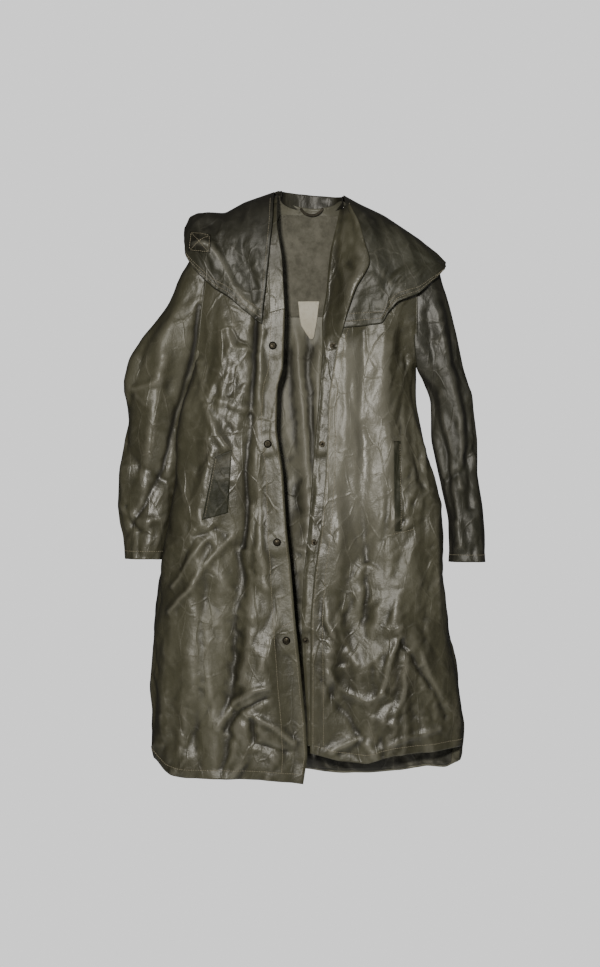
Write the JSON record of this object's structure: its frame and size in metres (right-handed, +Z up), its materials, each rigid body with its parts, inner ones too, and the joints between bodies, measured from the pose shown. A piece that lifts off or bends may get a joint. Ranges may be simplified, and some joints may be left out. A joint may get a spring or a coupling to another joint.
{
  "type": "foul weather jacket",
  "caption": "Long foul weather coat of proofed cloth with a shoulder cape, fly front with press studs, welt pockets and straight sleeves, hanging open.",
  "frame": {"origin": "at the neck, on the shoulder line where the coat rests on a hanger", "axes": "+Z up, -Y out of the coat's front, +X towards the wearer's left"},
  "size_m": [0.749, 0.136, 1.2044],
  "materials": {
    "oilskin": "glossy",
    "oilskin_trim": "glossy",
    "cloth_backing": "matte",
    "loop_tape": "matte",
    "label_cotton": "matte",
    "brass_studs": "aged"
  },
  "bodies": {
    "torso": {"back_panel": "oilskin", "back_lining": "cloth_backing", "blank_label": "label_cotton", "hem_facing_back": "oilskin_trim", "neck_band": "oilskin_trim", "cape_back": "oilskin", "cape_hem_band_back": "oilskin_trim", "front_side_right": "oilskin", "front_side_left": "oilskin", "pocket_welt_right": "oilskin_trim", "pocket_welt_left": "oilskin_trim", "pocket_bag_right": "cloth_backing", "pocket_bag_left": "cloth_backing", "lapel_left": "cloth_backing", "stud_cap_1": "brass_studs", "stud_socket_1": "brass_studs", "stud_post_1": "brass_studs", "stud_washer_1": "brass_studs"},
    "front_right": {"front_panel_right": "oilskin", "facing_right": "cloth_backing", "hem_facing_right": "oilskin_trim", "stud_cap_2": "brass_studs", "stud_socket_2": "brass_studs", "stud_cap_3": "brass_studs", "stud_socket_3": "brass_studs", "stud_cap_4": "brass_studs", "stud_socket_4": "brass_studs"},
    "front_left": {"front_panel_left": "oilskin", "facing_left": "cloth_backing", "hem_facing_left": "oilskin_trim", "fly_strip_left": "oilskin_trim", "stud_post_2": "brass_studs", "stud_washer_2": "brass_studs", "stud_post_3": "brass_studs", "stud_washer_3": "brass_studs", "stud_post_4": "brass_studs", "stud_washer_4": "brass_studs"},
    "sleeve_right": {"sleeve_front_right": "oilskin", "sleeve_back_right": "oilskin", "cuff_facing_right": "oilskin_trim"},
    "sleeve_left": {"sleeve_front_left": "oilskin", "sleeve_back_left": "oilskin", "cuff_facing_left": "oilskin_trim"},
    "cape_right": {"cape_front_right": "oilskin", "cape_hem_band_right": "oilskin_trim", "shoulder_patch_right": "oilskin_trim"},
    "cape_left": {"cape_front_left": "oilskin", "cape_hem_band_left": "oilskin_trim"},
    "loop": {"hang_loop": "loop_tape"}
  },
  "joints": [
    {"name": "front_right_open", "type": "hinge", "parent": "torso", "child": "front_right", "pos_m": [-0.062, -0.059, -0.3], "axis": [-0.2084, 0.0144, -0.9779], "range_deg": [0, 60]},
    {"name": "front_left_open", "type": "hinge", "parent": "torso", "child": "front_left", "pos_m": [0.05, -0.059, -0.3], "axis": [-0.2109, -0.0152, 0.9774], "range_deg": [0, 60]},
    {"name": "sleeve_right_raise", "type": "hinge", "parent": "torso", "child": "sleeve_right", "pos_m": [-0.256, 0, -0.15], "axis": [0, 1, 0], "range_deg": [0, 40]},
    {"name": "sleeve_left_raise", "type": "hinge", "parent": "torso", "child": "sleeve_left", "pos_m": [0.256, 0, -0.15], "axis": [0, -1, 0], "range_deg": [0, 40]},
    {"name": "cape_right_lift", "type": "hinge", "parent": "torso", "child": "cape_right", "pos_m": [-0.074, 0, 0.01], "axis": [-0.9217, 0, -0.3878], "range_deg": [0, 85]},
    {"name": "cape_left_lift", "type": "hinge", "parent": "torso", "child": "cape_left", "pos_m": [0.066, 0, -0.002], "axis": [-0.8198, 0, 0.5726], "range_deg": [0, 85]},
    {"name": "hang_loop_turn", "type": "hinge", "parent": "torso", "child": "loop", "pos_m": [-0.006, 0.022, -0.022], "axis": [-1, 0, 0], "range_deg": [0, 150]}
  ]
}
